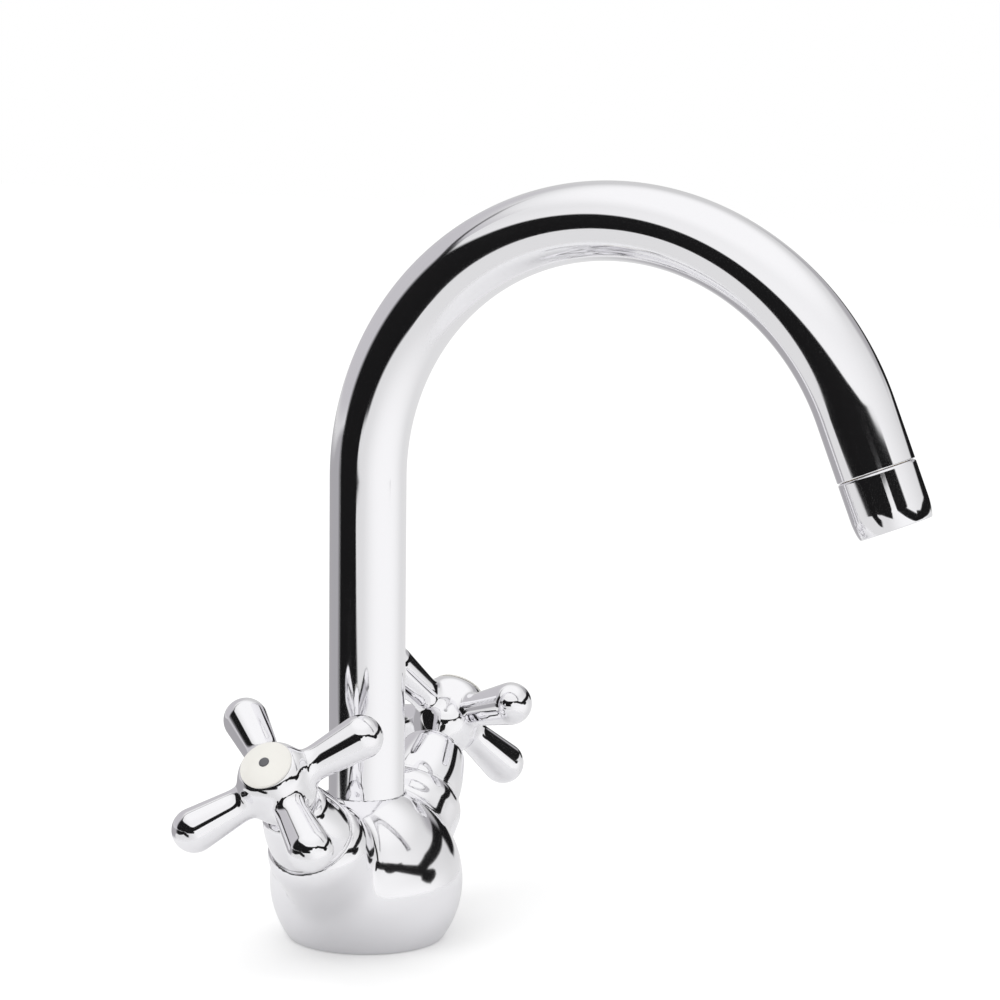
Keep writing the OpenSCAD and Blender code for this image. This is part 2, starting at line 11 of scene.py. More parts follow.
import bpy
import numpy as np
from mathutils import Matrix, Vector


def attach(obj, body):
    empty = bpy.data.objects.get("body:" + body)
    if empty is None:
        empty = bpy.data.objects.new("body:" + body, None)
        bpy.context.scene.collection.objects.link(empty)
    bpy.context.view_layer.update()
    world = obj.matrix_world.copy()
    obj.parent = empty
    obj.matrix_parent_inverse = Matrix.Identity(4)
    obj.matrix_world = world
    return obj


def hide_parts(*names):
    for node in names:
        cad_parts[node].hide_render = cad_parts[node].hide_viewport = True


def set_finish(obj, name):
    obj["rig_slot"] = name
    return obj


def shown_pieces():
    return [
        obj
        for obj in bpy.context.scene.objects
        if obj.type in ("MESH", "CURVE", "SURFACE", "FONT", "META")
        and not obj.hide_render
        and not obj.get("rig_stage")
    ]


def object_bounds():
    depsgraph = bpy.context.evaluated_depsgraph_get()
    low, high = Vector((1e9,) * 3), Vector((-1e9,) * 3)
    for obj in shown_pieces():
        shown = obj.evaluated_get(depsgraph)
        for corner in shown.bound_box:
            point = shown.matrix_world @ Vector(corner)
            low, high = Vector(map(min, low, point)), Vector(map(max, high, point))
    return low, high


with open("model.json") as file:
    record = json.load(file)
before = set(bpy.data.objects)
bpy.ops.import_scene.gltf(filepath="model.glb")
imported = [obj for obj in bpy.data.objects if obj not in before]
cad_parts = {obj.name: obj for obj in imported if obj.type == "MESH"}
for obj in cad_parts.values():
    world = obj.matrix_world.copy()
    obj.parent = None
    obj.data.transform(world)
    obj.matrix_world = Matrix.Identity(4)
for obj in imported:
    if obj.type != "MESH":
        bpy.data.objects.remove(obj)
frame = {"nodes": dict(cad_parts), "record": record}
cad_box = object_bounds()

MM = 0.001

# %% [markdown]
# ## The camera
# The tap was photographed with a long lens from the hot handle's side, turned a little
# towards the front and from slightly above. Three turns and a place are enough for such a
# camera: yaw about the vertical, pitch below the horizon and a small roll of the frame.
# They could be set by eye. Here they were fitted to the tap's outline, because a mirror
# image only falls where it should if the eye stands where it stood.

# %% Camera
CAMERA_PLACE = np.array([0.5562726, -1.0429183, 0.3267462])
YAW, PITCH, ROLL = 0.4537, 0.1520, 0.0104
LENS, SENSOR_WIDTH = 132.353, 36.0

sight = np.array([
    -math.sin(YAW) * math.cos(PITCH),
    math.cos(YAW) * math.cos(PITCH),
    -math.sin(PITCH),
])
level_right = np.array([math.cos(YAW), math.sin(YAW), 0.0])
level_up = np.cross(level_right, sight)
camera_right = math.cos(ROLL) * level_right + math.sin(ROLL) * level_up
camera_up = math.cos(ROLL) * level_up - math.sin(ROLL) * level_right

camera_data = bpy.data.cameras.new("camera")
camera_data.lens = LENS
camera_data.sensor_width = SENSOR_WIDTH
camera = bpy.data.objects.new("camera", camera_data)
bpy.context.scene.collection.objects.link(camera)
turn = np.eye(4)
turn[:3, 0], turn[:3, 1], turn[:3, 2], turn[:3, 3] = camera_right, camera_up, -sight, CAMERA_PLACE
camera.matrix_world = Matrix(turn.tolist())
bpy.context.scene.camera = camera
bpy.context.scene.view_settings.view_transform = "Standard"
print("camera", round(float(np.linalg.norm(CAMERA_PLACE)), 3), "m from the base")

# %% [markdown]
# ## From arrays to a mesh
# Each surface below is worked out as arrays of points, triangles and normals. Faces could
# be added one at a time with bmesh, but arrays apply one formula to all points at once.
# Points that fall together are welded, so seams and poles close, while every corner keeps
# the normal of the surface it came from. That keeps crisp edges crisp and long curves
# smooth.

# %% Mesh from arrays
WELD = 1e-4


def facing(points, triangles, normals):
    """Turn each triangle so that its own normal agrees with the normals at its corners."""
    a, b, c = (points[triangles[:, k]] for k in range(3))
    agrees = np.einsum("ij,ij->i", np.cross(b - a, c - a), normals[triangles].sum(1)) >= 0
    return np.where(agrees[:, None], triangles, triangles[:, [0, 2, 1]])


def mesh_piece(name, points, triangles, normals, body, slot, node):
    """Weld points that share a place to 0.1 micron, drop flat triangles, keep the corner
    normals, say what the piece rides on and its finish, and hide the CAD node it stands for."""
    triangles = facing(points, triangles, normals)
    corner_normals = normals[triangles]
    key = np.round(points / WELD).astype(np.int64)
    _, first, index = np.unique(key, axis=0, return_index=True, return_inverse=True)
    welded = index.reshape(-1)[triangles]
    a, b, c = welded.T
    whole = (a != b) & (b != c) & (c != a)
    welded, corner_normals = welded[whole], corner_normals[whole]
    mesh = bpy.data.meshes.new(name)
    mesh.vertices.add(len(first))
    mesh.vertices.foreach_set("co", (points[first] * MM).astype(np.float32).ravel())
    mesh.loops.add(welded.size)
    mesh.loops.foreach_set("vertex_index", welded.astype(np.int32).ravel())
    mesh.polygons.add(len(welded))
    mesh.polygons.foreach_set("loop_start", np.arange(0, welded.size, 3, dtype=np.int32))
    mesh.polygons.foreach_set("use_smooth", np.ones(len(welded), bool))
    mesh.update(calc_edges=True)
    mesh.validate()
    mesh.normals_split_custom_set(corner_normals.reshape(-1, 3).tolist())
    made = bpy.data.objects.new(name, mesh)
    bpy.context.scene.collection.objects.link(made)
    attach(made, body)
    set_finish(made, slot)
    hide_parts(node)
    print(name, len(mesh.polygons), "triangles")


def grid_triangles(rows, columns):
    """Two triangles for each square of a grid of rows by columns points."""
    i, j = np.meshgrid(np.arange(rows - 1), np.arange(columns - 1), indexing="ij")
    a = (i * columns + j).ravel()
    b, c, d = a + 1, a + columns + 1, a + columns
    return np.concatenate([np.stack([a, b, c], 1), np.stack([a, c, d], 1)])


# %% [markdown]
# ## Profiles
# Most pieces of a tap are turned on a lathe, so they are a profile spun about an axis.
# Blender's Screw modifier can spin a drawn outline too, but it has to guess the normals
# from the faces. Here a profile is a list of strokes, lines and curves in radius and
# height, and each stroke brings its own exact normals, a quarter turn clockwise from the
# way it runs.

# %% Strokes of a profile
def stroke(points, tangents):
    """Points in radius and height, with normals a quarter turn clockwise from the tangents."""
    points, tangents = np.asarray(points, float), np.asarray(tangents, float)
    normals = np.stack([tangents[:, 1], -tangents[:, 0]], 1)
    return points, normals / np.linalg.norm(normals, axis=1, keepdims=True)


def line(start, end, steps=1):
    """Straight stroke: start plus a growing share of the way to the end."""
    start, end = np.array(start, float), np.array(end, float)
    share = np.linspace(0, 1, steps + 1)[:, None]
    return stroke(start + share * (end - start), np.repeat((end - start)[None], steps + 1, 0))


def corner(centre, radius, start, end, steps=6):
    """Round stroke: the centre plus the radius turned from one angle to the other, in degrees."""
    angle = np.radians(np.linspace(start, end, steps + 1))
    arm = np.stack([np.cos(angle), np.sin(angle)], 1)
    ahead = np.stack([-arm[:, 1], arm[:, 0]], 1) * np.sign(end - start)
    return stroke(np.array(centre, float) + radius * arm, ahead)


def bend(p, q, r, s, steps=16):
    """Cubic Bezier stroke from p to s, which leaves towards q and arrives from r."""
    t = np.linspace(0, 1, steps + 1)[:, None]
    p, q, r, s = (np.array(v, float) for v in (p, q, r, s))
    points = (1 - t) ** 3 * p + 3 * t * (1 - t) ** 2 * q + 3 * t**2 * (1 - t) * r + t**3 * s
    return stroke(points, (1 - t) ** 2 * (q - p) + 2 * t * (1 - t) * (r - q) + t**2 * (s - r))


# %% Spin a profile
def moved(points, normals, at):
    """Points turned and shifted to a place, normals only turned."""
    return points @ at[:3, :3].T + at[:3, 3], normals @ at[:3, :3].T


def spin(strokes, at, columns=144):
    """Each point goes round the axis: radius times cosine, radius times sine, height."""
    angle = np.linspace(0, 2 * np.pi, columns)
    angle[-1] = 0
    circle = np.stack([np.cos(angle), np.sin(angle)], 1)

    def round_axis(profile):
        level = profile[:, None, :1] * circle
        height = np.repeat(profile[:, None, 1:], columns, 1)
        return np.concatenate([level, height], 2).reshape(-1, 3)

    points, normals, triangles, start = [], [], [], 0
    for along, lean in strokes:
        points.append(round_axis(along))
        normals.append(round_axis(lean))
        triangles.append(grid_triangles(len(along), columns) + start)
        start += len(points[-1])
    points, normals = moved(np.concatenate(points), np.concatenate(normals), at)
    return points, np.concatenate(triangles), normals


# %% [markdown]
# ## Where things stand
# Three kinds of place carry everything: each valve's axis, measured from the mouth of its
# arm, each crosshead, turned as its handle stands when shut, and the spout's mouth. They
# could be parent objects, but a finished piece has to sit at the origin with its place in
# its mesh. So a place is a 4 by 4 matrix that is applied to the points.

# %% Places
HOT, COLD = -1, 1
SIDES = ((HOT, "hot"), (COLD, "cold"))
VALVE_TILT = math.radians(45)
VALVE_FOOT_Z = 3.7
ARM_LENGTH = 53.0
HUB_ABOVE_MOUTH = 31.0
HANDLE_TURN = {HOT: math.radians(43), COLD: math.radians(-22.6)}
RISER_TOP_Z = 152.9
BEND_R = 86.9
BEND_ANGLE = math.radians(158)
OUTLET_STRAIGHT = 19.3


def place(axes, origin):
    """A 4 by 4 matrix from three axes and an origin."""
    made = np.eye(4)
    made[:3, :3], made[:3, 3] = np.array(axes, float).T, origin
    return made


def valve_place(side, above=0.0, turned=0.0):
    """The valve's axis leans sideways by its tilt; the other two axes turn about it."""
    along = np.array([0, side * math.sin(VALVE_TILT), math.cos(VALVE_TILT)])
    x, y = np.array([1.0, 0, 0]), np.cross(along, [1.0, 0, 0])
    c, s = math.cos(turned), math.sin(turned)
    foot = np.array([0, 0, VALVE_FOOT_Z])
    return place([c * x + s * y, c * y - s * x, along], foot + (ARM_LENGTH + above) * along)


def hub_place(side):
    """The middle of a crosshead, further along the valve and turned with its handle."""
    return valve_place(side, HUB_ABOVE_MOUTH, HANDLE_TURN[side])


flow = np.array([math.sin(BEND_ANGLE), 0, math.cos(BEND_ANGLE)])
mouth = OUTLET_STRAIGHT * flow + [
    BEND_R - BEND_R * math.cos(BEND_ANGLE), 0, RISER_TOP_Z + BEND_R * math.sin(BEND_ANGLE),
]
mouth_place = place([[math.cos(BEND_ANGLE), 0, -math.sin(BEND_ANGLE)], [0, 1, 0], flow], mouth)
print("spout's mouth at", mouth.round(1), "mm")

# %% [markdown]
# ## Cast shapes
# The body and the crossheads are castings, whose parts flow into each other with a soft
# fillet. Booleans and a Bevel could come near, but they break up where curved parts meet.
# So they are made from a field: a number at every point of space, negative inside the
# metal. Two shapes join by a smooth minimum of their fields.

# %% Fields
SHOULDER_EDGE = 0.4


def join(a, b, reach):
    """Smooth minimum: within reach of each other both fields dip by up to a sixth of it."""
    near = np.maximum(reach - np.abs(a - b), 0) / reach
    return np.minimum(a, b) - near**3 * reach / 6


def cut(a, b, reach):
    """Smooth maximum, which leaves a rounded edge of about that reach."""
    return -join(-a, -b, reach)


def shoulder(radial, height, radius, top, draw_in, length):
    """A cylinder's side that curves inwards on a circular arc and meets a flat top at an
    edge. The arc's radius is the sum of both squares over twice the draw-in."""
    arc = (draw_in**2 + length**2) / (2 * draw_in)
    rise = np.maximum(height - (top - length), 0)
    return cut(np.hypot(radial - (radius - arc), rise) - arc, height - top, SHOULDER_EDGE)


def local(at, x, y, z):
    """Coordinates along a place's own axes."""
    q = (np.stack([x, y, z], -1) - at[:3, 3]) @ at[:3, :3]
    return q[..., 0], q[..., 1], q[..., 2]


# %% [markdown]
# ## From a field to a surface
# The surface lies where the field is zero. It is first found on a grid, as one point in
# each cell that it crosses. That alone would ripple in the mirror images, so each point
# is then moved along the field's slope until it lies exactly on the surface, and the
# slope there is its normal.

# %% Points and squares on a grid
def ends(values, d):
    """The field at the lower and at the upper end of every grid edge along one axis."""
    count = values.shape[d]
    return np.take(values, range(count - 1), d), np.take(values, range(1, count), d)


def cell_points(values):
    """Which cells the surface crosses, and for each of them the mean of its crossings."""
    cells = np.array(values.shape) - 1
    total, count = np.zeros((*cells, 3)), np.zeros(cells)
    for d in range(3):
        lower, upper = ends(values, d)
        crossed = (lower < 0) != (upper < 0)
        share = np.where(crossed, lower / np.where(crossed, lower - upper, 1), 0)
        p, q = (k for k in range(3) if k != d)
        for i in (0, 1):
            for j in (0, 1):
                window = [slice(None)] * 3
                window[p], window[q] = slice(i, i + cells[p]), slice(j, j + cells[q])
                hit = crossed[tuple(window)]
                count += hit
                total[..., d] += share[tuple(window)]
                total[..., p] += i * hit
                total[..., q] += j * hit
    shell = count > 0
    return shell, np.argwhere(shell) + total[shell] / count[shell][:, None]


def cell_squares(values, shell):
    """For each grid edge that the surface crosses, the square of the four cells round it."""
    index = np.full(shell.shape, -1)
    index[shell] = np.arange(shell.sum())
    squares = []
    for d in range(3):
        p, q = (k for k in range(3) if k != d)
        lower, upper = ends(values, d)
        edge = np.argwhere((lower < 0) != (upper < 0))
        edge = edge[(edge[:, p] > 0) & (edge[:, q] > 0)]
        around = [edge.copy() for _ in range(4)]
        around[1][:, p] -= 1
        around[2][:, [p, q]] -= 1
        around[3][:, q] -= 1
        squares.append(np.stack([index[tuple(a.T)] for a in around], 1))
    return np.concatenate(squares)


# %% Skin of a field
SLOPE_STEP, LEAST_SLOPE = 0.02, 0.05
MOVES = 4


def slope(field, p):
    """Central differences of the field along x, y and z."""
    h = SLOPE_STEP
    return np.stack([(field(*(p + d).T) - field(*(p - d).T)) / (2 * h) for d in np.eye(3) * h], 1)


def skin(field, low, high, step):
    """The grid's points, moved by minus field times slope over slope squared, a few times."""
    axes = [np.arange(a, b + step, step) for a, b in zip(low, high)]
    values = field(*np.meshgrid(*axes, indexing="ij"))
    shell, points = cell_points(values)
    points = np.array(low) + step * points
    for _ in range(MOVES):
        g = slope(field, points)
        move = field(*points.T)[:, None] * g / np.maximum((g**2).sum(1), LEAST_SLOPE)[:, None]
        points = points - np.clip(move, -step, step)
    normals = slope(field, points)
    normals /= np.linalg.norm(normals, axis=1, keepdims=True)
    squares = cell_squares(values, shell)
    return points, np.concatenate([squares[:, [0, 1, 2]], squares[:, [0, 2, 3]]]), normals


# %% [markdown]
# ## The body
# One casting: a ball cut flat at the deck, with an arm to either side for the valves.
# Where an arm leaves the ball there is a soft crease. The bores for the spout, the
# valves, the hoses and the stud are cut from the same field, so their edges come out soft
# without a modifier.

# %% Body
BALL_R, BALL_Z = 31.8, 19.0
ARM_R = 16.6
MOUTH_LENGTH, MOUTH_IN = 6.5, 2.4
CREASE = 5.0
DECK_EDGE, BORE_EDGE = 0.8, 0.3
TUBE_R, SEAT_GAP, SEAT_Z = 12.5, 0.1, 44.5
TAIL_BORE_R, CHAMBER_Z = 9.08, 28.5
VALVE_BORE_R, VALVE_BORE_DEPTH = 10.4, 27.0
INLET_Y, INLET_R, INLET_DEPTH = 12, 4.5, 16
STUD_R, STUD_DEPTH = 3.4, 14
GROOVE_R, GROOVE_HALF, GROOVE_DEPTH = 22, 1.4, 2


def body_field(x, y, z):
    """Ball joined to two arms, cut at the deck, less the bores."""
    solid = np.sqrt(x**2 + y**2 + (z - BALL_Z) ** 2) - BALL_R
    for side in (HOT, COLD):
        u, v, w = local(valve_place(side), x, y, z)
        radial = np.hypot(np.hypot(u, v), np.minimum(w + ARM_LENGTH - ARM_R, 0))
        solid = join(solid, shoulder(radial, w, ARM_R, 0, MOUTH_IN, MOUTH_LENGTH), CREASE)
    solid = cut(solid, -z, DECK_EDGE)
    for side in (HOT, COLD):
        u, v, w = local(valve_place(side), x, y, z)
        valve_bore = cut(np.hypot(u, v) - VALVE_BORE_R, -VALVE_BORE_DEPTH - w, BORE_EDGE)
        inlet = np.maximum(np.hypot(x, y - side * INLET_Y) - INLET_R, z - INLET_DEPTH)
        solid = cut(cut(solid, -valve_bore, BORE_EDGE), -inlet, BORE_EDGE)
    across = np.hypot(x, y)
    spout_hole = np.maximum(across - TUBE_R - SEAT_GAP, SEAT_Z - z)
    tail_hole = np.maximum(across - TAIL_BORE_R, CHAMBER_Z - z)
    stud_hole = np.maximum(across - STUD_R, z - STUD_DEPTH)
    groove = np.maximum(np.abs(across - GROOVE_R) - GROOVE_HALF, z - GROOVE_DEPTH)
    for hole in (spout_hole, tail_hole, stud_hole, groove):
        solid = cut(solid, -hole, BORE_EDGE)
    return solid


BODY_LOW, BODY_HIGH, BODY_STEP = (-33, -58, -1), (33, 58, 58), 0.6
mesh_piece("tap_body_casting", *skin(body_field, BODY_LOW, BODY_HIGH, BODY_STEP),
           "tap_body", "chrome", "body")

# %% [markdown]
# ## The swan neck
# One bent tube. A curve object with a round bevel would do for the middle, but not for
# the cut ends with their thin wall. So a circle is carried along the riser, the bend and
# the short straight before the mouth, and the same circle with the bore's radius makes
# the inside.

# %% Path of the spout
TUBE_BORE_R = 11.3
TUBE_FOOT_Z = 45.6
LIP = 0.35
RISER_RINGS, BEND_RINGS, END_RINGS = 12, 140, 6


def spout_path():
    """Places along the tube's centre line with the direction at each: up, round, out."""
    rise = np.linspace(TUBE_FOOT_Z + LIP, RISER_TOP_Z, RISER_RINGS)
    angle = np.linspace(0, BEND_ANGLE, BEND_RINGS)
    out = np.linspace(0, OUTLET_STRAIGHT - LIP, END_RINGS)[1:]
    round_bend = [BEND_R - BEND_R * np.cos(angle), 0 * angle, RISER_TOP_Z + BEND_R * np.sin(angle)]
    centre = np.concatenate([
        np.stack([0 * rise, 0 * rise, rise], 1),
        np.stack(round_bend, 1)[1:],
        mouth - OUTLET_STRAIGHT * flow + out[:, None] * flow,
    ])
    return centre, np.concatenate([0 * rise, angle[1:], np.full(len(out), BEND_ANGLE)])


# %% Spout tube
def spout_surface(columns=128):
    """Rings square to the path; a lip at each end rounds the outer edge into the bore."""
    centre, turned = spout_path()
    ahead = np.stack([np.sin(turned), 0 * turned, np.cos(turned)], 1)
    outward = np.stack([-np.cos(turned), 0 * turned, np.sin(turned)], 1)
    around = np.linspace(0, 2 * np.pi, columns)
    around[-1] = 0
    points, normals, triangles = [], [], []

    def ring(i, radius, shift, radial, axial):
        """A circle at a place of the path, with normals that are part radial, part axial."""
        lean = np.cos(around)[:, None] * outward[i] + np.sin(around)[:, None] * [0, 1.0, 0]
        return centre[i] + shift * ahead[i] + radius * lean, radial * lean + axial * ahead[i]

    def strip(rings):
        """A surface from each ring to the next."""
        triangles.append(grid_triangles(len(rings), columns) + sum(len(p) for p in points))
        for store, arrays in zip((points, normals), zip(*rings)):
            store.append(np.concatenate(arrays))

    strip([ring(i, TUBE_R, 0, 1, 0) for i in range(len(centre))])
    strip([ring(i, TUBE_BORE_R, 0, -1, 0) for i in range(len(centre))])
    quarter = [(math.cos(a), math.sin(a)) for a in np.radians(np.linspace(0, 90, 5))]
    for i, way in ((0, -1), (len(centre) - 1, 1)):
        strip([ring(i, TUBE_R - LIP + LIP * c, way * LIP * s, c, way * s) for c, s in quarter])
        strip([ring(i, r, way * LIP, 0, way) for r in (TUBE_R - LIP, TUBE_BORE_R)])
        strip([ring(i, TUBE_BORE_R, shift, -1, 0) for shift in (way * LIP, 0)])
    return (np.concatenate(arrays) for arrays in (points, triangles, normals))


mesh_piece("swan_neck_tube", *spout_surface(), "spout", "chrome", "spout_tube")

# %% [markdown]
# ## The aerator's housing
# A turned sleeve of the tube's own width that curves inwards over its last few
# millimetres. It is a profile spun about the mouth's axis, because a plain cylinder would
# lose that curve and with it the stripes' pointed ends. Its upper edge is rounded, which
# leaves the fine bright line at the joint.

# %% Aerator housing
AERATOR_L, AERATOR_END_R, END_EDGE = 18.5, 11.7, 0.5
INWARD_L, LEAVES_L, ARRIVES_L, ARRIVES_IN = 6.5, 4.2, 2.0, 0.3
THREAD_R, THREAD_L = 11.0, 7.1
CHAMBER_R, LIP_R, LIP_H, LIP_EDGE = 10.6, 9.6, 1.3, 0.3
EDGE = 0.9
JOINT = 0.1

aerator = [
    line((THREAD_R, JOINT), (TUBE_R - EDGE, JOINT)),
    corner((TUBE_R - EDGE, JOINT + EDGE), EDGE, -90, 0),
    line((TUBE_R, JOINT + EDGE), (TUBE_R, AERATOR_L - INWARD_L), 8),
    bend((TUBE_R, AERATOR_L - INWARD_L), (TUBE_R, AERATOR_L - LEAVES_L),
         (TUBE_R - ARRIVES_IN, AERATOR_L - ARRIVES_L), (AERATOR_END_R, AERATOR_L - END_EDGE), 30),
    bend((AERATOR_END_R, AERATOR_L - END_EDGE),
         (AERATOR_END_R - 0.2 * END_EDGE, AERATOR_L - 0.4 * END_EDGE),
         (AERATOR_END_R - 0.5 * END_EDGE, AERATOR_L), (AERATOR_END_R - END_EDGE, AERATOR_L), 8),
    line((AERATOR_END_R - END_EDGE, AERATOR_L), (LIP_R + LIP_EDGE, AERATOR_L)),
    corner((LIP_R + LIP_EDGE, AERATOR_L - LIP_EDGE), LIP_EDGE, 90, 180, 4),
    line((LIP_R, AERATOR_L - LIP_EDGE), (LIP_R, AERATOR_L - LIP_H)),
    line((LIP_R, AERATOR_L - LIP_H), (CHAMBER_R, AERATOR_L - LIP_H)),
    line((CHAMBER_R, AERATOR_L - LIP_H), (CHAMBER_R, THREAD_L)),
    line((CHAMBER_R, THREAD_L), (THREAD_R, THREAD_L)),
    line((THREAD_R, THREAD_L), (THREAD_R, JOINT)),
]
mesh_piece("aerator_housing", *spin(aerator, mouth_place), "spout", "chrome", "aerator_shell")

# %% [markdown]
# ## The bells
# A bell-shaped cover hides each valve. It flares from a round shoulder to its foot, which
# sits flat on the arm's mouth. The flare could be one more Bezier curve, but a quarter
# cosine gives the even hollow of a turned bell with two radii and no handles to tune.

# %% Bells
BELL_FOOT_R, BELL_SHOULDER_R, BELL_H = 14.0, 11.1, 18.3
BELL_TOP_R, BELL_HOLE_R, BELL_ROOF = 8.2, 5.4, 1.2
BELL_INSIDE_R, BELL_INSIDE_H, NECK_R = 11.1, 5.6, 8.7
FOOT_EDGE, FOOT_BAND, FLARE_Z, FLARE_IN = 0.1, 0.9, 1.2, 0.3
FOOT_LEAVES_Z, FOOT_ARRIVES_Z = 1.05, 1.0
SHOULDER_DROP = 3.3
SHOULDER_LEAVES, SHOULDER_ARRIVES = (0.55, 1.4), 1.4


def flare(steps=24):
    """Quarter cosine from the foot's lip up to the shoulder."""
    low, high = FLARE_Z, BELL_H - SHOULDER_DROP
    t = np.linspace(0, 1, steps + 1)
    drop = BELL_FOOT_R - FLARE_IN - BELL_SHOULDER_R
    points = np.stack([BELL_SHOULDER_R + drop * np.cos(t * np.pi / 2), low + (high - low) * t], 1)
    tangents = np.stack([-drop * np.pi / 2 * np.sin(t * np.pi / 2), np.full(len(t), high - low)], 1)
    return stroke(points, tangents)


bell = [
    line((BELL_INSIDE_R, JOINT), (BELL_FOOT_R - FOOT_EDGE, JOINT)),
    corner((BELL_FOOT_R - FOOT_EDGE, JOINT + FOOT_EDGE), FOOT_EDGE, -90, 0, 4),
    line((BELL_FOOT_R, JOINT + FOOT_EDGE), (BELL_FOOT_R, FOOT_BAND)),
    bend((BELL_FOOT_R, FOOT_BAND), (BELL_FOOT_R, FOOT_LEAVES_Z),
         (BELL_FOOT_R - FLARE_IN, FOOT_ARRIVES_Z), (BELL_FOOT_R - FLARE_IN, FLARE_Z), 6),
    flare(),
    bend((BELL_SHOULDER_R, BELL_H - SHOULDER_DROP),
         (BELL_SHOULDER_R - SHOULDER_LEAVES[0], BELL_H - SHOULDER_LEAVES[1]),
         (BELL_TOP_R + SHOULDER_ARRIVES, BELL_H), (BELL_TOP_R, BELL_H)),
    line((BELL_TOP_R, BELL_H), (BELL_HOLE_R, BELL_H)),
    line((BELL_HOLE_R, BELL_H), (BELL_HOLE_R, BELL_H - BELL_ROOF)),
    line((BELL_HOLE_R, BELL_H - BELL_ROOF), (NECK_R, BELL_H - BELL_ROOF)),
    line((NECK_R, BELL_H - BELL_ROOF), (NECK_R, BELL_INSIDE_H)),
    line((NECK_R, BELL_INSIDE_H), (BELL_INSIDE_R, BELL_INSIDE_H)),
    line((BELL_INSIDE_R, BELL_INSIDE_H), (BELL_INSIDE_R, JOINT)),
]
for side, water in SIDES:
    mesh_piece(f"{water}_bell", *spin(bell, valve_place(side)),
               "tap_body", "chrome", f"{water}_bonnet")

# %% [markdown]
# ## The crossheads
# Each handle is one casting: a barrel-shaped hub with four arms that swell towards their
# round ends. Rods and a lathe shape put together would show a hard line where they meet,
# so the crosshead uses the same kind of field as the body, with a wider fillet where the
# arms leave the hub. It is worked out once and placed twice.

# %% Crosshead
HUB_R, HUB_NECK_R = 11.0, 7.6
HUB_BELOW, HUB_ABOVE, HUB_EDGE = 12.3, 10.2, 0.6
HUB_RIM_R, HUB_SHOULDER = 8.5, 4.8
ROOT_R, TIP_R, ARM_REACH = 5.2, 7.2, 29.8
WEB = 6.0
RECESS_R, RECESS_FLOOR = 7.4, 5.0
SPINDLE_HOLE_R, SPINDLE_HOLE_TOP = 4.1, 2.7


def tapered_arm(along, off):
    """Distance to a rod that swells evenly from the root to a ball at its tip."""
    base = ROOT_R - (HUB_R / (ARM_REACH - HUB_R)) * (TIP_R - ROOT_R)
    lean = (TIP_R - base) / ARM_REACH
    flat = math.sqrt(1 - lean**2)
    side_distance = off * flat - along * lean - base
    past_tip = along * flat + off * lean > ARM_REACH * flat
    return np.where(past_tip, np.hypot(along - ARM_REACH, off) - TIP_R, side_distance)


def hub_field(radial, height):
    """Below the arms the radius grows as a quarter sine; above, a shoulder rounds it in."""
    t = np.clip((height + HUB_BELOW) / (HUB_BELOW - ROOT_R), 0, 1) * np.pi / 2
    radius = HUB_NECK_R + (HUB_R - HUB_NECK_R) * np.sin(t)
    steep = (HUB_R - HUB_NECK_R) * np.cos(t) * np.pi / 2 / (HUB_BELOW - ROOT_R)
    side_distance = (radial - radius) / np.sqrt(1 + steep**2)
    top = shoulder(radial, height, HUB_R, HUB_ABOVE, HUB_R - HUB_RIM_R, HUB_SHOULDER)
    return cut(np.where(height > 0, top, side_distance), -HUB_BELOW - height, HUB_EDGE)


def crosshead_field(x, y, z):
    """Hub joined to four arms, less the recess under the cap and the spindle's hole."""
    radial = np.hypot(x, y)
    arms = np.minimum(tapered_arm(np.abs(x), np.hypot(y, z)),
                      tapered_arm(np.abs(y), np.hypot(x, z)))
    solid = join(hub_field(radial, z), arms, WEB)
    solid = cut(solid, -np.maximum(radial - RECESS_R, RECESS_FLOOR - z), BORE_EDGE)
    return cut(solid, -np.maximum(radial - SPINDLE_HOLE_R, z - SPINDLE_HOLE_TOP), BORE_EDGE)


# %% Both crossheads
CROSS_LOW, CROSS_HIGH, CROSS_STEP = (-38, -38, -13), (38, 38, 11), 0.36

points, triangles, normals = skin(crosshead_field, CROSS_LOW, CROSS_HIGH, CROSS_STEP)
for side, water in SIDES:
    there, lean = moved(points, normals, hub_place(side))
    mesh_piece(f"{water}_cross_handle", there, triangles, lean,
               f"{water}_handle", "chrome", f"{water}_crosshead")

# %% [markdown]
# ## The buttons
# An ivory button closes each hub. It is a shallow dome with a soft edge, and it carries a
# small plain dot. A squashed sphere would be too round at the rim, so the dome is the cap
# of a large ball, whose radius follows from the button's width and the dome's height.

# %% Buttons
CAP_R, CAP_EDGE, CAP_DOME = 8.6, 0.6, 1.4
CAP_STEM_R, CAP_FOOT_EDGE, CAP_ROUND = 6.2, 0.2, 0.45
CAP_LEAVES_UP, CAP_ARRIVES_IN, CAP_ARRIVES_DOWN = 0.55, 0.25, 0.06
CAP_FOOT = HUB_ABOVE + JOINT
dome_r = (CAP_R**2 + CAP_DOME**2) / (2 * CAP_DOME)
dome_z = CAP_FOOT + CAP_EDGE + CAP_DOME - dome_r
rim_angle = math.degrees(math.acos((CAP_R - CAP_ROUND) / dome_r))
rim_z = dome_z + dome_r * math.sin(math.radians(rim_angle))

button = [
    line((CAP_STEM_R, CAP_FOOT), (CAP_R - CAP_FOOT_EDGE, CAP_FOOT)),
    corner((CAP_R - CAP_FOOT_EDGE, CAP_FOOT + CAP_FOOT_EDGE), CAP_FOOT_EDGE, -90, 0, 4),
    bend((CAP_R, CAP_FOOT + CAP_FOOT_EDGE), (CAP_R, CAP_FOOT + CAP_LEAVES_UP),
         (CAP_R - CAP_ARRIVES_IN, rim_z - CAP_ARRIVES_DOWN), (CAP_R - CAP_ROUND, rim_z), 8),
    corner((0, dome_z), dome_r, rim_angle, 90, 24),
]

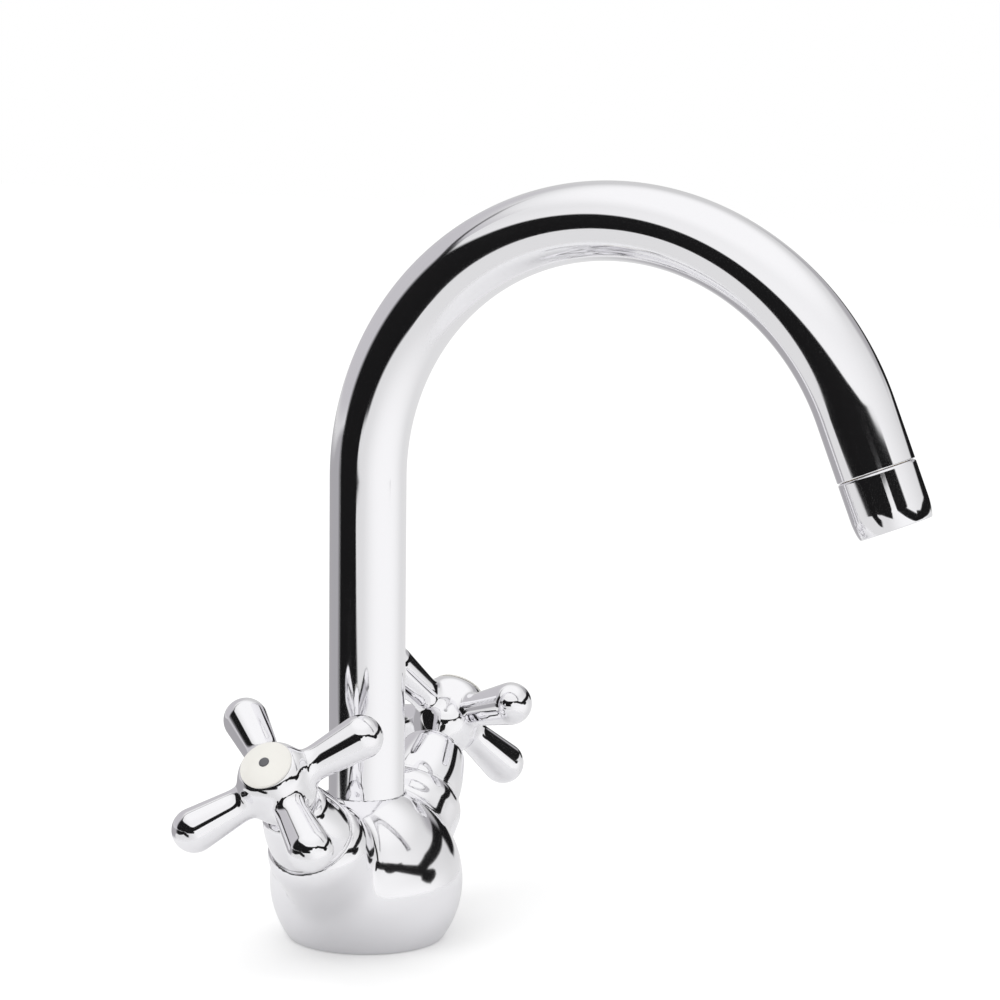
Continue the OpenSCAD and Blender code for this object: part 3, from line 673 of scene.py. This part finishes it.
DOT_R, DOT_FLAT, DOT_COLUMNS = 1.7, 0.6, 64
dot_foot, dot_side, dot_round, dot_top = (HUB_ABOVE + h for h in (1.5, 2.1, 2.3, 2.45))
dot = [
    line((0, dot_foot), (DOT_R, dot_foot)),
    line((DOT_R, dot_foot), (DOT_R, dot_side)),
    bend((DOT_R, dot_side), (DOT_R, dot_round), (DOT_R * DOT_FLAT, dot_top), (0, dot_top), 10),
]
for side, water in SIDES:
    hub = hub_place(side)
    mesh_piece(f"{water}_button", *spin(button, hub),
               f"{water}_handle", "ivory", f"{water}_cap")
    mesh_piece(f"{water}_dot", *spin(dot, hub, DOT_COLUMNS),
               f"{water}_handle", "mark", f"{water}_cap_mark")

# %% [markdown]
# ## Shader maths
# Materials are node trees. Adding and linking each node by hand hides the formula, so a
# small wrapper round a socket lets shader maths be written as Python expressions, and
# every operator adds its Math node.

# %% Socket wrapper
class Value:
    """A socket of a node tree; arithmetic on it adds Math nodes."""

    def __init__(self, tree, socket):
        self.tree, self.socket = tree, socket

    def node(self, kind, settings=None, **inputs):
        """Add any node: settings first, then a value or a link for each socket. A socket is
        given by its name, or by its number after an underscore."""
        made = self.tree.nodes.new(kind)
        for key, setting in (settings or {}).items():
            setattr(made, key, setting)
        for key, given in inputs.items():
            slot_in = made.inputs[int(key[1:]) if key[0] == "_" else key.replace("_", " ")]
            if isinstance(given, Value):
                self.tree.links.new(given.socket, slot_in)
            else:
                slot_in.default_value = given
        return made

    def out(self, made, name=0):
        """One output of a node, by its name or its number."""
        return Value(self.tree, made.outputs[name])

    def maths(self, operation, a, b):
        return self.out(self.node("ShaderNodeMath", {"operation": operation}, _0=a, _1=b))

    def __add__(self, other): return self.maths("ADD", self, other)
    def __radd__(self, other): return self.maths("ADD", other, self)
    def __sub__(self, other): return self.maths("SUBTRACT", self, other)
    def __rsub__(self, other): return self.maths("SUBTRACT", other, self)
    def __mul__(self, other): return self.maths("MULTIPLY", self, other)
    def __rmul__(self, other): return self.maths("MULTIPLY", other, self)

    def blend(self, low, high):
        """A colour between low and high, by this value: a Mix node has its colours at
        inputs 6 and 7 and its mixed colour at output 2."""
        made = self.node("ShaderNodeMix", {"data_type": "RGBA"}, _0=self, _6=low, _7=high)
        return self.out(made, 2)


# %% Helpers for materials
def finish_of(name, base, metallic, roughness, **sockets):
    """A material with its Principled BSDF and its Object coordinates."""
    made = bpy.data.materials.new(name)
    made.use_nodes = True
    shader = made.node_tree.nodes["Principled BSDF"]
    shader.inputs["Base Color"].default_value = (*base, 1)
    shader.inputs["Metallic"].default_value = metallic
    shader.inputs["Roughness"].default_value = roughness
    for key, given in sockets.items():
        shader.inputs[key.replace("_", " ")].default_value = given
    start = Value(made.node_tree, None)
    return made, shader, start.out(start.node("ShaderNodeTexCoord"), "Object")


def noise(coordinates, scale, detail):
    """Cloudy values between 0 and 1, so many to the metre."""
    return coordinates.out(coordinates.node(
        "ShaderNodeTexNoise", Vector=coordinates, Scale=scale, Detail=detail))


def bump(height, shader, distance):
    """Tilt the normals as if the height stood out by this distance, in metres."""
    made = height.node("ShaderNodeBump", Height=height, Distance=distance)
    feed(height.out(made), shader, "Normal")


def feed(value, shader, name):
    """Link a value to one of the shader's sockets."""
    value.tree.links.new(value.socket, shader.inputs[name])


def smooth(value, start, end):
    """Smoothstep: three times the square less twice the cube of the share of the way."""
    return value.out(value.node(
        "ShaderNodeMapRange", {"interpolation_type": "SMOOTHSTEP"},
        Value=value, From_Min=start, From_Max=end, To_Min=0.0, To_Max=1.0))


# %% [markdown]
# ## Finishes
# Nearly all that shows is bright chrome: a metal with a very low roughness and a trace of
# blue. One flat roughness looks like plastic film, so a soft noise varies it, and low
# down, where the big casting is, it is a little higher. The buttons are ivory plastic
# with a clear coat. What sits inside gets plain brass, steel, rubber, plastic and
# ceramic, each with its own mottle.

# %% Chrome
CHROME = (0.93, 0.925, 0.945)
POLISH_SCALE, POLISH_LOW, POLISH_SPREAD = 60.0, 0.045, 0.04
CASTING_TOP, TUBE_FROM, CASTING_MORE = 0.042, 0.056, 0.02


def chrome_finish():
    """Roughness: a low value plus noise, plus a little more below the casting's top."""
    made, shader, at = finish_of("chrome", CHROME, 1.0, 0.08)
    polish = noise(at, POLISH_SCALE, 3.0)
    height = at.out(at.node("ShaderNodeSeparateXYZ", _0=at), 2)
    casting = smooth(height, TUBE_FROM, CASTING_TOP)
    feed(polish * POLISH_SPREAD + POLISH_LOW + casting * CASTING_MORE, shader, "Roughness")
    return made


# %% The other finishes
METAL_SPREAD, MOULDED_SPREAD = 0.18, 0.1
COAT_ROUGHNESS = 0.05
GRAIN_FINER = 8


def mottled(mottle, shader, low, high, roughness, spread):
    """Noise moves the colour from low to high and the roughness round its middle."""
    feed(mottle.blend((*low, 1), (*high, 1)), shader, "Base Color")
    feed(mottle * spread + (roughness - spread / 2), shader, "Roughness")


def plain_metal(name, low, high, roughness, scale):
    """A machined metal whose colour and roughness cloud a little."""
    made, shader, at = finish_of(name, low, 1.0, roughness)
    mottled(noise(at, scale, 4.0), shader, low, high, roughness, METAL_SPREAD)
    return made


def moulded(name, low, high, roughness, scale, depth, coat=0.0):
    """A moulded or fired piece: the same clouding, with a much finer grain as bump."""
    made, shader, at = finish_of(
        name, low, 0.0, roughness, Coat_Weight=coat, Coat_Roughness=COAT_ROUGHNESS)
    mottled(noise(at, scale, 3.0), shader, low, high, roughness, MOULDED_SPREAD)
    bump(noise(at, scale * GRAIN_FINER, 2.0), shader, depth)
    return made


finishes = {
    "chrome": chrome_finish(),
    "brass": plain_metal("brass", (0.74, 0.56, 0.26), (0.82, 0.68, 0.38), 0.32, 300.0),
    "steel": plain_metal("steel", (0.58, 0.59, 0.61), (0.68, 0.69, 0.71), 0.28, 400.0),
    "rubber": moulded("rubber", (0.03, 0.03, 0.032), (0.06, 0.06, 0.065), 0.55, 250.0, 0.00004),
    "plastic": moulded("plastic", (0.82, 0.82, 0.80), (0.88, 0.88, 0.86), 0.42, 200.0, 0.00002),
    "ceramic": moulded("ceramic", (0.90, 0.90, 0.88), (0.95, 0.95, 0.93), 0.22, 200.0, 0.00001),
    "ivory": moulded("ivory", (0.76, 0.745, 0.70), (0.80, 0.785, 0.745), 0.25, 120.0,
                     0.000004, 0.6),
    "mark": moulded("mark", (0.07, 0.07, 0.08), (0.11, 0.11, 0.12), 0.25, 200.0, 0.000005, 0.4),
}
print("mixed", len(finishes), "finishes")

# %% [markdown]
# ## Dress every piece
# The record names a material slot for each CAD node, and each new piece was given one of
# the same slots. So nothing is dressed by hand: one loop gives every CAD solid that still
# shows its finish, and a second one does it for the new pieces.

# %% Dress every piece
slot_of = {row["node"]: row["material_slot"] for row in frame["record"]["subparts"]}
for name, cad_object in frame["nodes"].items():
    cad_object.data.materials.clear()
    cad_object.data.materials.append(finishes[slot_of[name]])
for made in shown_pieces():
    if "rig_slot" in made:
        made.data.materials.clear()
        made.data.materials.append(finishes[made["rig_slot"]])

# %% [markdown]
# ## The tent
# Polished metal has hardly any colour of its own: what it shows is the room. The room is
# a white tent, so the world is white and even. A photo of a studio on the world would
# bring in things that were never there, so mirrored rays see a plain tent instead: a
# little darker at and below the horizon, brighter on one side and white overhead.

# %% Tent
UNDER, LEVEL, OVER = 0.77, 0.80, 1.0
LIGHT_BEARING, LIGHT_FADE, LIGHT_SIDE = 80, (0.3, 1.0), 0.22
FRONT_BEARING, FRONT_SIDE = 30, 0.17
HORIZON, ROOF = (-0.15, 0.15), (0.6, 0.92)

world = bpy.data.worlds.new("tent")
bpy.context.scene.world = world
world.use_nodes = True
sky = world.node_tree.nodes["Background"]
sky.inputs["Color"].default_value = (1, 1, 1, 1)
sky_start = Value(world.node_tree, None)
glossy = sky_start.out(sky_start.node("ShaderNodeLightPath"), "Is Glossy Ray")
ray = sky_start.out(sky_start.node("ShaderNodeTexCoord"), "Generated")
height = ray.out(ray.node("ShaderNodeSeparateXYZ", _0=ray), 2)


def towards(bearing):
    """Cosine of the angle between the ray and a level direction at this bearing."""
    a = math.radians(bearing)
    return ray.out(ray.node("ShaderNodeVectorMath", {"operation": "DOT_PRODUCT"},
                            _0=ray, _1=(math.sin(a), -math.cos(a), 0)), "Value")


low = smooth(towards(LIGHT_BEARING), *LIGHT_FADE) * LIGHT_SIDE + UNDER
middle = towards(FRONT_BEARING) * FRONT_SIDE + LEVEL
tent = low + (middle - low) * smooth(height, *HORIZON)
tent = tent + (OVER - tent) * smooth(height, *ROOF)
feed(glossy * tent + (1 - glossy), sky, "Strength")
print("tent", UNDER, "below,", LEVEL, "at the horizon,", OVER, "overhead")

# %% [markdown]
# ## The floor
# The tap stands on a white floor. More light would wash out the shadow with the grey, so
# for the camera the floor glows a little instead, which lifts it to white less the tap's
# own shadow. Mirrored rays see the floor only near the tap, greyer and with half the glow:
# that is painted shade in the chrome's mirror image of the floor. Further out it turns
# transparent for them and they see the tent.

# %% Floor
FLOOR_HALF, FLOOR_DROP = 3.0, 0.0001
FLOOR_SEEN, FADE_FROM = 0.17, 0.7
GLOW, GLOSSY_GLOW = 0.22, 0.5
# The second colour is the floor's greyer colour for mirrored rays: painted shade.
WHITE, MIRRORED_SHADE = (0.84, 0.84, 0.84, 1), (0.70, 0.70, 0.705, 1)

floor_corners = [(x * FLOOR_HALF, y * FLOOR_HALF, -FLOOR_DROP)
                 for x, y in ((-1, -1), (1, -1), (1, 1), (-1, 1))]
floor_mesh = bpy.data.meshes.new("floor")
floor_mesh.from_pydata(floor_corners, [], [(0, 1, 2, 3)])
floor = bpy.data.objects.new("floor", floor_mesh)
bpy.context.scene.collection.objects.link(floor)
floor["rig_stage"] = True
floor_paint, floor_shader, floor_at = finish_of("floor_paint", (0.9, 0.9, 0.9), 0.0, 0.9)
floor_shader.inputs["Specular IOR Level"].default_value = 0.0
floor_shader.inputs["Emission Strength"].default_value = 1.0
floor_path = floor_at.node("ShaderNodeLightPath")
camera_ray = floor_at.out(floor_path, "Is Camera Ray")
glossy_ray = floor_at.out(floor_path, "Is Glossy Ray")
# Mirrored rays get half the glow. Together with the greyer colour, this paints shade into the
# floor's mirror image.
glow = (camera_ray + glossy_ray * GLOSSY_GLOW).blend((0, 0, 0, 1), (GLOW, GLOW, GLOW, 1))
feed(glow, floor_shader, "Emission Color")
# Mirrored rays see the greyer colour: painted shade on the floor as the chrome mirrors it.
feed(glossy_ray.blend(WHITE, MIRRORED_SHADE), floor_shader, "Base Color")


# %% The floor's far end
def mix_surfaces(start, share, first, second, material):
    """The material shows the first shader where the share is 0 and the second where it is 1."""
    mixed = start.node("ShaderNodeMixShader", _0=share)
    links = start.tree.links
    links.new(first.outputs[0], mixed.inputs[1])
    links.new(second.outputs[0], mixed.inputs[2])
    links.new(mixed.outputs[0], material.node_tree.nodes["Material Output"].inputs["Surface"])


far = floor_at.out(
    floor_at.node("ShaderNodeVectorMath", {"operation": "LENGTH"}, _0=floor_at), "Value")
open_out = smooth(far, FLOOR_SEEN * FADE_FROM, FLOOR_SEEN)
see_through = floor_at.node("ShaderNodeBsdfTransparent")
mix_surfaces(floor_at, glossy_ray * open_out, floor_shader, see_through, floor_paint)
floor_mesh.materials.append(floor_paint)
print("floor", 2 * FLOOR_HALF, "m wide, mirrored up to", FLOOR_SEEN, "m from the riser's axis")

# %% [markdown]
# ## Cards
# The crisp black bands on chrome are reflections of black cards, which a photographer
# stands round the object just for that. Dark stripes painted on the tube would stay put
# when the spout swings, and mirror images don't. Each card here is a patch of a sphere
# about the tap, given by its lower and upper edge at a few bearings, with edges that
# fade. Cards are seen by mirrored rays only, so they neither show nor shade.

# %% Card
CARD_ROWS, LEAST_FADE = 9, 1e-4


def fading_card(grey, sides, edges):
    """Emission of one grey that fades to nothing over a share of the card: at its first
    and last side along the bearing, and at its lower and upper edge."""
    made = bpy.data.materials.new("card")
    made.use_nodes = True
    made.node_tree.nodes.remove(made.node_tree.nodes["Principled BSDF"])
    start = Value(made.node_tree, None)
    uv = start.out(start.node("ShaderNodeTexCoord"), "UV")
    split = uv.node("ShaderNodeSeparateXYZ", _0=uv)
    cover = None
    for axis, (near, far_end) in enumerate((sides, edges)):
        along = uv.out(split, axis)
        for value, share in ((along, near), (1 - along, far_end)):
            rise = smooth(value, 0.0, max(share, LEAST_FADE))
            cover = rise if cover is None else cover * rise
    tinted = (grey, grey * 0.98, grey * 1.02, 1)
    glow = start.node("ShaderNodeEmission", Color=tinted, Strength=1.0)
    clear = start.node("ShaderNodeBsdfTransparent")
    mix_surfaces(start, cover, clear, glow, made)
    return made


def card(name, distance, centre, grey, stops, sides, edges, columns=61):
    """Points of a sphere: the bearing runs along the columns, the height angle from the
    lower to the upper edge along the rows. A stop is a bearing with the heights of both
    edges there, all in degrees, and between the stops both edges are straight."""
    bearings, lows, highs = zip(*stops)
    bearing = np.linspace(bearings[0], bearings[-1], columns)
    low, high = np.interp(bearing, bearings, lows), np.interp(bearing, bearings, highs)
    share = np.linspace(0, 1, CARD_ROWS)[:, None]
    a, e = np.radians(bearing), np.radians(low + share * (high - low))
    ways = np.stack([np.sin(a) * np.cos(e), -np.cos(a) * np.cos(e), np.sin(e)], -1)
    points = ways * distance + np.array(centre)
    triangles = grid_triangles(CARD_ROWS, columns)
    mesh = bpy.data.meshes.new(name)
    mesh.from_pydata(points.reshape(-1, 3).tolist(), [], triangles.tolist())
    uv = np.stack(np.broadcast_arrays(np.linspace(0, 1, columns)[None], share), -1).reshape(-1, 2)
    uv_layer = mesh.uv_layers.new(name="UVMap")
    uv_layer.data.foreach_set("uv", uv[triangles.ravel()].astype(np.float32).ravel())
    mesh.materials.append(fading_card(grey, sides, edges))
    made = bpy.data.objects.new(name, mesh)
    bpy.context.scene.collection.objects.link(made)
    made.visible_camera = made.visible_diffuse = made.visible_shadow = False
    made.visible_transmission = made.visible_volume_scatter = False
    made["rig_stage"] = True
    print(name, "from", bearings[0], "to", bearings[-1], "degrees")


# %% [markdown]
# ## Where the cards stand
# A bearing is counted from straight towards the hot side, with the spout's mouth at 90
# degrees. The cards are centred on the piece they are meant for. A near card moves on the
# chrome from one piece to the next and a far one doesn't, so the distance is one more way
# to fit a band that two pieces share.

# %% Cards in front of the tap
BLACK = 0.0095
NEAR, NEARER, MIDWAY, FAR = 0.7, 0.5, 1.8, 3.0
NECK_CENTRE, LOW_CENTRE, BODY_CENTRE = (0.087, 0, 0.2), (0.05, 0, 0.2), (0, 0, 0.04)

card("card_front", NEAR, NECK_CENTRE, BLACK, [
    (-74, 6, 36), (-68, -8, 32.5), (-60, -11, 26.5), (-45, -11, 25), (-26, -11.5, 24.4),
    (-20, -12.5, 23), (-15, -13.4, 21.8), (-13.5, -12.6, 21.4), (-8, -12.2, 19.5),
    (-5, -11.8, 18.3), (0, -11.1, 17), (6, -9.4, 16.3), (15, -6, 16.1), (30, -1, 15.9),
    (31.5, 0, 15.9), (33, 6.1, 15.8), (44, 9.7, 15.8), (46, 4, 15.9), (50, 4, 16.1),
    (62, 7, 16.6), (76, 11, 17.5),
], sides=(0.07, 0.03), edges=(0.0, 0.1), columns=151)
card("card_wedge", NEAR, NECK_CENTRE, 0.06, [
    (-120, 46, 49.5), (-105, 43, 47), (-90, 37.5, 43), (-75, 28, 33.5), (-64, 21, 27.5),
], sides=(0.8, 0.0), edges=(0.35, 0.35))
card("card_low", MIDWAY, LOW_CENTRE, BLACK, [
    (-76, -15, -3), (-60, -18.5, -3), (-50, -20.2, -3), (-35, -18.2, -3), (-26, -16, -3),
    (-19, -21, -3.5), (-13, -25, -6.5), (-7, -28, -12.5), (3, -29, -16),
], sides=(0.2, 0.08), edges=(0.07, 0.12), columns=80)
card("card_ahead", FAR, BODY_CENTRE, BLACK, [(-12, -4.6, 6), (30, -4.6, 6)],
     sides=(0.1, 0.05), edges=(0.1, 0.0))

# %% Cards to the left and the right
card("card_left_low", FAR, NECK_CENTRE, 0.41, [
    (-158, -52, -2), (-120, -62, -2), (-100, -58, -2), (-88, -34, -2), (-80, -21, -2),
    (-64, -16, -2),
], sides=(0.3, 0.05), edges=(0.3, 0.1))
card("card_left_high", FAR, NECK_CENTRE, 0.57, [(-155, -4, 47), (-64, -4, 47)],
     sides=(0.3, 0.03), edges=(0.1, 0.3))
card("card_right", NEARER, BODY_CENTRE, BLACK, [
    (57.5, 18.7, 27.5), (60, 17.8, 28), (98, 3.5, 16.5),
], sides=(0.0, 0.05), edges=(0.12, 0.12))

# %% Cards behind the tap
card("card_back", NEARER, BODY_CENTRE, BLACK, [
    (95, 4.5, 17), (104, 7.5, 20), (112, 9.7, 22.8), (130, 11, 24), (150, 11.5, 25),
    (172, 11, 23),
], sides=(0.0, 0.15), edges=(0.12, 0.12))
card("card_gap", FAR, BODY_CENTRE, BLACK, [
    (96, 3, 12), (103, -2, 12), (110, -4.2, 11), (117, -1, 9), (122, 3, 6),
], sides=(0.1, 0.1), edges=(0.15, 0.1))
card("card_behind", FAR, BODY_CENTRE, BLACK, [
    (157, 4, 17), (166, -3, 18), (178, -4, 17), (192, -2, 14),
], sides=(0.2, 0.2), edges=(0.15, 0.25))
card("card_back_high", FAR, BODY_CENTRE, 0.42, [(138, 13, 38), (192, 13, 38)],
     sides=(0.35, 0.35), edges=(0.2, 0.45))

# %% [markdown]
# ## The lamp
# The tent alone leaves hardly any shadow. One wide, weak lamp from above gives the floor
# the faint soft shadow that makes the tap stand on it. Mirrored rays don't see it,
# because its bright disc would show on the chrome.

# %% Lamp
LAMP_WIDTH, LAMP_POWER = 0.8, 3.0
LAMP_PLACE, LAMP_LEAN = (-0.3, -0.6, 1.2), 26

lamp_data = bpy.data.lights.new("soft_lamp", "AREA")
lamp_data.shape, lamp_data.size, lamp_data.energy = "DISK", LAMP_WIDTH, LAMP_POWER
lamp = bpy.data.objects.new("soft_lamp", lamp_data)
lamp.location = LAMP_PLACE
lamp.rotation_euler = (math.radians(LAMP_LEAN), 0, math.radians(-LAMP_LEAN))
lamp.visible_glossy = False
bpy.context.scene.collection.objects.link(lamp)
print("one soft lamp of", LAMP_POWER, "W")

# %% [markdown]
# ## Finish
# The CAD box and the finished model's box are gathered side by side, and the finished
# model's size is printed in millimetres.

# %% Sizes and finish
corners = [[list(c) for c in box] for box in (cad_box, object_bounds())]
print("size in mm", [round((b - a) / MM, 1) for a, b in zip(*corners[1])])
